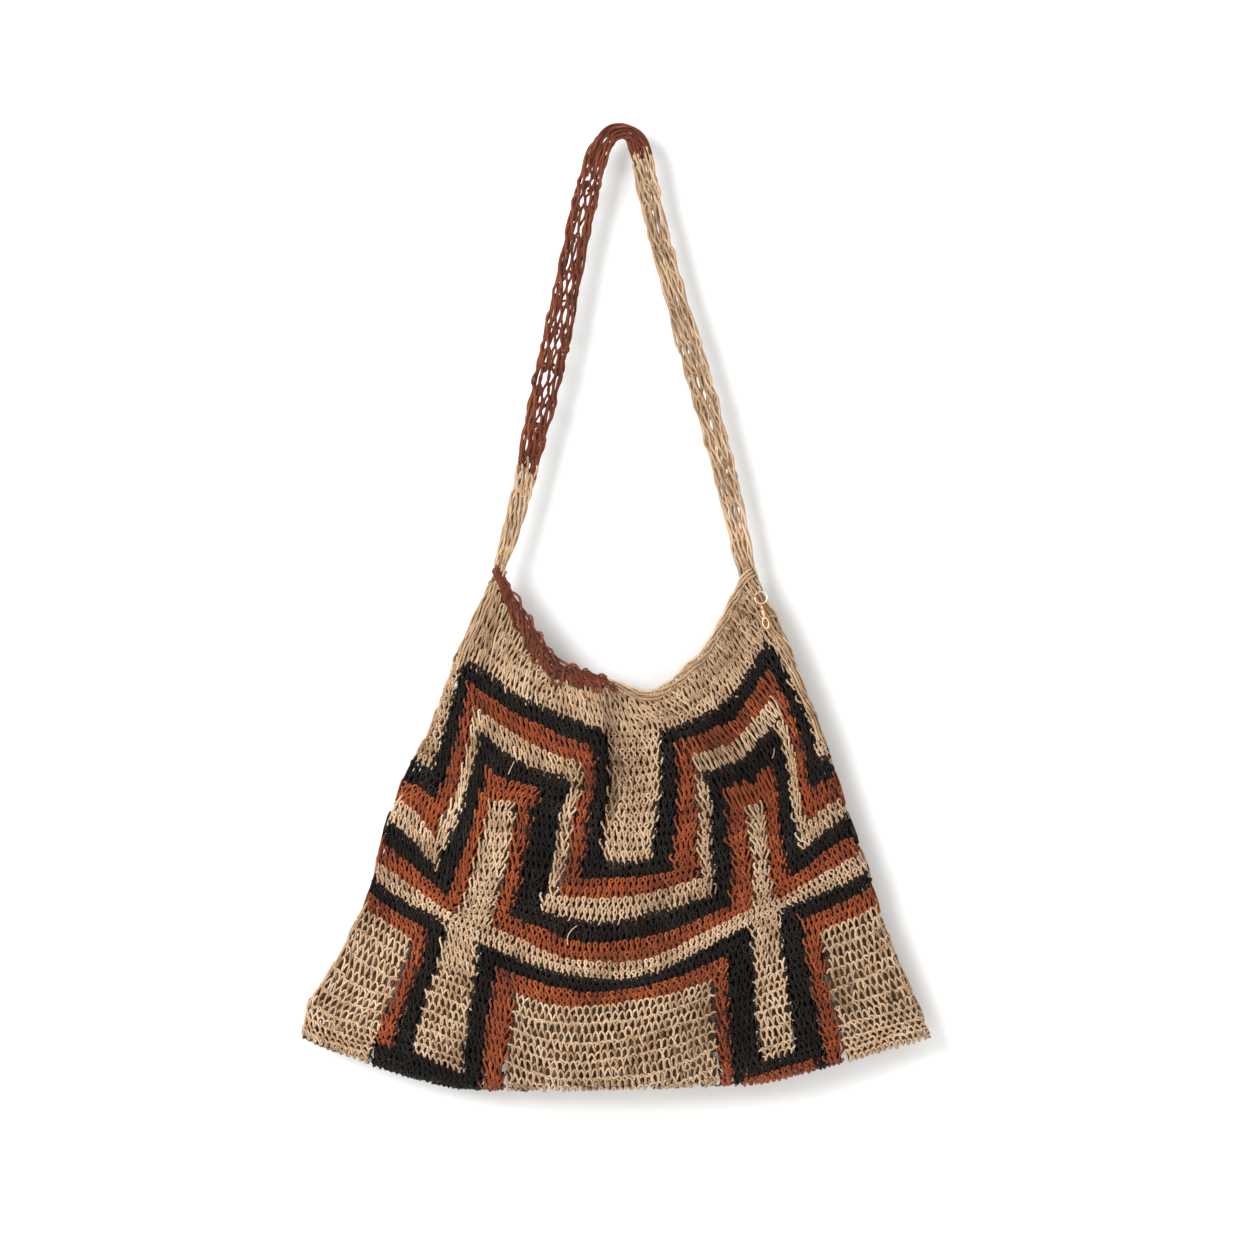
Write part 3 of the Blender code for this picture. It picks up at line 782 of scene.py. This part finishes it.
NATURAL = string_material("natural_string", (0.19, 0.1, 0.046), (0.52, 0.345, 0.205), (0.78, 0.57, 0.39))
RUST = string_material("rust_string", (0.07, 0.01, 0.002), (0.27, 0.051, 0.0095), (0.45, 0.108, 0.025))
RIM_RUST = string_material("rim_rust_string", (0.05, 0.008, 0.003), (0.15, 0.031, 0.01), (0.29, 0.082, 0.03))
BLACK = string_material(
    "black_string", (0.004, 0.003, 0.0025), (0.011, 0.0085, 0.007), (0.028, 0.022, 0.019), sheen=0.03, gloss=0.12
)
FINISHES = {"natural": NATURAL, "rust": RUST, "black": BLACK}


def piece(name, strings, finish, slot, sides, radius, *replaced):
    """A mesh of strings that rides on the bag's one body."""
    made = string_mesh(name, strings, sides, radius)
    made.data.materials.append(finish)
    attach(made, "root")
    if replaced:
        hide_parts(*replaced)
    return made


def build_net():
    """Both faces of the bag."""
    face = sheet_strings(front=True, seed=11)
    back = sheet_strings(front=False, seed=12)
    for colour, finish in FINISHES.items():
        slot = f"{colour}_string"
        half = len(face[colour]) // 2
        replaced = ("bag_body",) if colour == "natural" else ()
        piece(f"face_{colour}_upper", face[colour][:half], finish, slot, 5, STRING_RADIUS, *replaced)
        piece(f"face_{colour}_lower", face[colour][half:], finish, slot, 5, STRING_RADIUS)
        piece(f"back_{colour}", back[colour], finish, slot, 4, BACK_STRING_RADIUS)


def build_rim():
    """The strands round the mouth and down the sides, where the net is stretched lengthwise."""
    rng = np.random.default_rng(21)
    place, length = rim_place(-3, RIM_END + 1, RUST_RIM_WIDTHS, 2.0, 1.3)
    rust = lengthwise_strands(rng, place, length, 8, 15.0, 0.3, disorder=1.1)
    rust += rim_hooks(rng, place)
    place, length = rim_place(-3, RIM_END + 1, RUST_RIM_WIDTHS, 1.5, -0.2)
    rust += lengthwise_strands(rng, place, length, 6, 23.0, 0.08)
    place, length = rim_place(-3, RIM_END + 1, BACK_RIM_WIDTHS, 1.5, 0.4, front=False)
    rust += lengthwise_strands(rng, place, length, 5, 17.0, 0.2)
    piece("rim_rust", rust, RIM_RUST, "rust_string", 6, STRING_RADIUS * 1.08)
    place, length = rim_place(RIM_END - 0.5, 96, NATURAL_RIM_WIDTHS, 2.0, 0.5)
    natural = lengthwise_strands(rng, place, length, 5, 19.0, 0.16)
    place, length = rim_place(RIM_END - 0.5, 96, BACK_RIM_WIDTHS, 1.5, 0.4, front=False)
    natural += lengthwise_strands(rng, place, length, 5, 19.0, 0.2)
    for inner, outer, last_row in ((-2.9, 0.2, 3.5), (93.0, 95.9, 9.0)):
        place, length = side_place(inner, outer, last_row)
        natural += lengthwise_strands(rng, place, length, 6, 24.0, 0.16)
    piece("rim_natural", natural, NATURAL, "natural_string", 6, STRING_RADIUS)


def loose_end(rng, loop, row, length, heading, bend):
    """A thin end of string that stands off the face. It heads off from straight down and then bends."""
    share = np.linspace(0, 1, 16)
    angle = np.radians(heading) + bend * share
    step = length / (len(share) - 1)
    aside = np.cumsum(np.sin(angle)) * step
    down = np.cumsum(np.cos(angle)) * step
    loops = np.full_like(share, loop)
    rows = np.full_like(share, row)
    place = sheet_place(loops, rows, True)
    per_loop = np.linalg.norm(sheet_place(loops + 1, rows, True) - place, axis=-1)
    per_row = np.linalg.norm(sheet_place(loops, rows + 1, True) - place, axis=-1)
    points, outward = on_sheet(loops + aside / per_loop, rows + down / per_row, 0.4 + 1.6 * np.sin(1.8 * share))
    return points, outward, np.full(len(share), rng.normal(0.8, 0.4))


def build_loose_ends():
    rng = np.random.default_rng(41)
    strings = {"natural": [], "rust": []}
    for *shape, colour in LOOSE_ENDS:
        strings[colour].append(loose_end(rng, *shape))
    for colour, ends in strings.items():
        piece(f"loose_{colour}", ends, FINISHES[colour], f"{colour}_string", 5, STRING_RADIUS * 0.5)


def build_strap():
    strings = strap_strings(31)
    piece("strap_rust", strings["rust"], RIM_RUST, "rust_string", 6, STRAP_STRING_RADIUS, "shoulder_strap")
    piece("strap_natural", strings["natural"], NATURAL, "natural_string", 6, STRAP_STRING_RADIUS)


def finish_metal():
    """The ring and the clasp keep their solids' shapes."""
    for node, finish in (
        ("ring", metal_material("pale_gold", (0.94, 0.79, 0.58), (0.84, 0.64, 0.42))),
        ("clasp", metal_material("copper_gold", (0.78, 0.50, 0.30), (0.58, 0.32, 0.17))),
    ):
        for slot in bpy.data.objects[node].material_slots:
            slot.material = finish


def plane(name, corners, finish):
    """A flat four-cornered piece of the stage."""
    mesh = bpy.data.meshes.new(name)
    mesh.from_pydata(corners, [], [(0, 1, 2, 3)])
    made = bpy.data.objects.new(name, mesh)
    mesh.materials.append(finish)
    bpy.context.scene.collection.objects.link(made)
    return made


def build_stage():
    """A white wall close behind the bag, a pale floor well below it, and soft light from the upper left."""
    wall_y = 0.023
    plane("wall", [(-3, wall_y, -1.1), (3, wall_y, -1.1), (3, wall_y, 2), (-3, wall_y, 2)], wall_material())
    floor = Nodes("floor")
    floor.shader.inputs["Base Color"].default_value = (0.85, 0.85, 0.84, 1)
    plane("floor", [(-3, -4, -1.1), (3, -4, -1.1), (3, 3, -1.1), (-3, 3, -1.1)], floor.material)
    world = bpy.data.worlds.new("room")
    world.use_nodes = True
    world.node_tree.nodes["Background"].inputs[0].default_value = (1.0, 0.99, 0.97, 1)
    world.node_tree.nodes["Background"].inputs[1].default_value = 0.8
    bpy.context.scene.world = world
    for name, place, size, power in (
        ("key", (-1.7, -2.2, 0.5), 1.3, 80),
        ("fill", (1.4, -2.8, 0.2), 1.8, 10),
    ):
        light = bpy.data.lights.new(name, "AREA")
        light.size = size
        light.energy = power
        lamp = bpy.data.objects.new(name, light)
        lamp.location = place
        lamp.rotation_euler = aimed(place, (0, 0, -0.45))
        bpy.context.scene.collection.objects.link(lamp)


def aimed(place, target):
    """The turn that points a lamp or a camera at a target."""
    from mathutils import Vector

    return (Vector(target) - Vector(place)).to_track_quat("-Z", "Y").to_euler()


def build_camera():
    """The photograph's view: square on, with its frame 903 mm wide where the bag hangs."""
    frame_width = 1254 * 0.72 * MM
    distance = 3.2
    lens = bpy.data.cameras.new("camera")
    lens.sensor_width = 36
    lens.lens = 36 * distance / frame_width
    lens.clip_end = 20
    camera = bpy.data.objects.new("camera", lens)
    middle = (0.005, -0.353)
    camera.location = (middle[0], -distance - 0.01, middle[1])
    camera.rotation_euler = (math.pi / 2, 0, 0)
    bpy.context.scene.collection.objects.link(camera)
    bpy.context.scene.camera = camera


build_camera()
build_stage()
build_net()
build_rim()
build_loose_ends()
build_strap()
finish_metal()
bpy.context.scene.view_settings.view_transform = "Standard"
